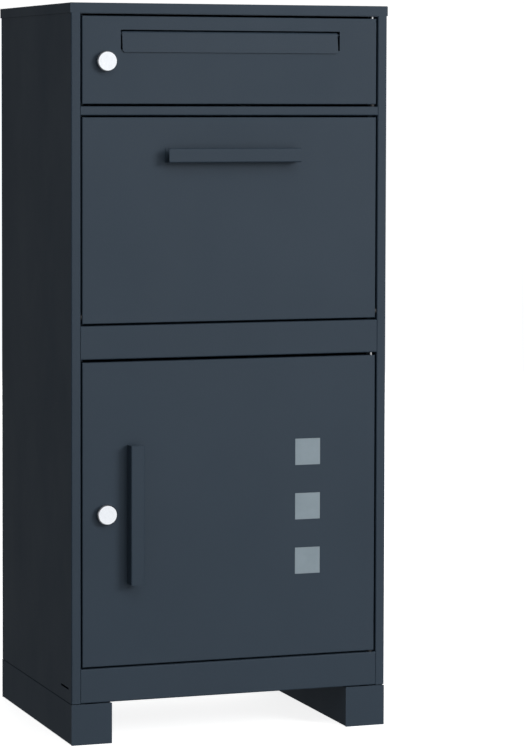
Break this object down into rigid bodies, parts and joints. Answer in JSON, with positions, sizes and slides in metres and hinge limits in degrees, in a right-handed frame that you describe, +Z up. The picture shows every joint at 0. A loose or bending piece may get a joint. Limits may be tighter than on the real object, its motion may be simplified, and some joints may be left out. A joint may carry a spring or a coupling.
{
  "type": "parcel and letter box",
  "caption": "Freestanding sheet-steel parcel and letter box with slotted letter door, tilt-out parcel hopper, lockable collection door and runner feet.",
  "frame": {"origin": "on the floor, in the middle of the overall box in plan, pull handles included", "axes": "+Z up, the doors face -Y, +X to the right of a person facing the doors"},
  "size_m": [0.455, 0.383, 1],
  "materials": {
    "coated_steel": "anthracite powder coat, satin, fine orange peel",
    "zinc_steel": "bright zinc plate",
    "lock_chrome": "satin chrome on die-cast zinc",
    "black_nylon": "black moulded nylon",
    "rubber": "soft black rubber",
    "frosted_pane": "frosted translucent acrylic"
  },
  "bodies": {
    "cabinet": {"left_side_panel": "coated_steel", "right_side_panel": "coated_steel", "back_panel": "coated_steel", "back_rivets": "zinc_steel", "lid": "coated_steel", "floor_pan": "coated_steel", "floor_bolts": "zinc_steel", "floor_nuts": "zinc_steel", "bottom_rail": "coated_steel", "middle_rail": "coated_steel", "upper_rail": "coated_steel", "top_rail": "coated_steel", "letter_shelf": "coated_steel", "reach_guard": "coated_steel", "left_runner": "coated_steel", "left_runner_caps": "coated_steel", "right_runner": "coated_steel", "right_runner_caps": "coated_steel", "letter_door_pins": "zinc_steel", "collection_door_pins": "zinc_steel", "hopper_pins": "zinc_steel", "door_washers": "black_nylon", "hopper_washers": "black_nylon", "bumpers": "rubber"},
    "letter_door": {"letter_door_panel": "coated_steel", "slot_ledge": "coated_steel", "left_flap_bracket": "coated_steel", "right_flap_bracket": "coated_steel", "flap_rod": "coated_steel", "letter_lock_barrel": "lock_chrome", "letter_lock_nut": "zinc_steel"},
    "slot_flap": {"letter_flap": "coated_steel"},
    "letter_lock": {"letter_lock_plug": "lock_chrome", "letter_lock_cam": "zinc_steel", "letter_lock_cam_screw": "zinc_steel"},
    "letter_cover": {"letter_lock_cover": "lock_chrome"},
    "parcel_flap": {"parcel_flap_panel": "coated_steel", "parcel_flap_handle": "coated_steel", "parcel_handle_screws": "zinc_steel", "hopper_tray": "coated_steel", "left_cheek": "coated_steel", "right_cheek": "coated_steel", "hopper_stop_lugs": "zinc_steel"},
    "collection_door": {"collection_door_panel": "coated_steel", "collection_door_handle": "coated_steel", "collection_handle_screws": "zinc_steel", "window_insert": "frosted_pane", "window_retainer": "zinc_steel", "window_studs": "zinc_steel", "window_nuts": "zinc_steel", "collection_lock_barrel": "lock_chrome", "collection_lock_nut": "zinc_steel"},
    "collection_lock": {"collection_lock_plug": "lock_chrome", "collection_lock_cam": "zinc_steel", "collection_lock_cam_screw": "zinc_steel"},
    "collection_cover": {"collection_lock_cover": "lock_chrome"}
  },
  "joints": [
    {"name": "letter_door_hinge", "type": "hinge", "parent": "cabinet", "child": "letter_door", "pos_m": [0.2063, -0.1685, 0.9236], "axis": [0, 0, 1], "range_deg": [0, 105]},
    {"name": "slot_flap_hinge", "type": "hinge", "parent": "letter_door", "child": "slot_flap", "pos_m": [0, -0.1693, 0.9592], "axis": [1, 0, 0], "range_deg": [-78, 0]},
    {"name": "letter_lock_turn", "type": "hinge", "parent": "letter_door", "child": "letter_lock", "pos_m": [-0.1781, -0.1735, 0.922], "axis": [0, 1, 0], "range_deg": [0, 90]},
    {"name": "letter_cover_swing", "type": "hinge", "parent": "letter_door", "child": "letter_cover", "pos_m": [-0.1781, -0.181, 0.9322], "axis": [0, 1, 0], "range_deg": [0, 150]},
    {"name": "parcel_flap_hinge", "type": "hinge", "parent": "cabinet", "child": "parcel_flap", "pos_m": [0, -0.1675, 0.5789], "axis": [1, 0, 0], "range_deg": [0, 50]},
    {"name": "collection_door_hinge", "type": "hinge", "parent": "cabinet", "child": "collection_door", "pos_m": [0.2063, -0.1685, 0.3116], "axis": [0, 0, 1], "range_deg": [0, 105]},
    {"name": "collection_lock_turn", "type": "hinge", "parent": "collection_door", "child": "collection_lock", "pos_m": [-0.1781, -0.1735, 0.3122], "axis": [0, 1, 0], "range_deg": [0, 90]},
    {"name": "collection_cover_swing", "type": "hinge", "parent": "collection_door", "child": "collection_cover", "pos_m": [-0.1781, -0.181, 0.3224], "axis": [0, 1, 0], "range_deg": [0, 150]}
  ]
}
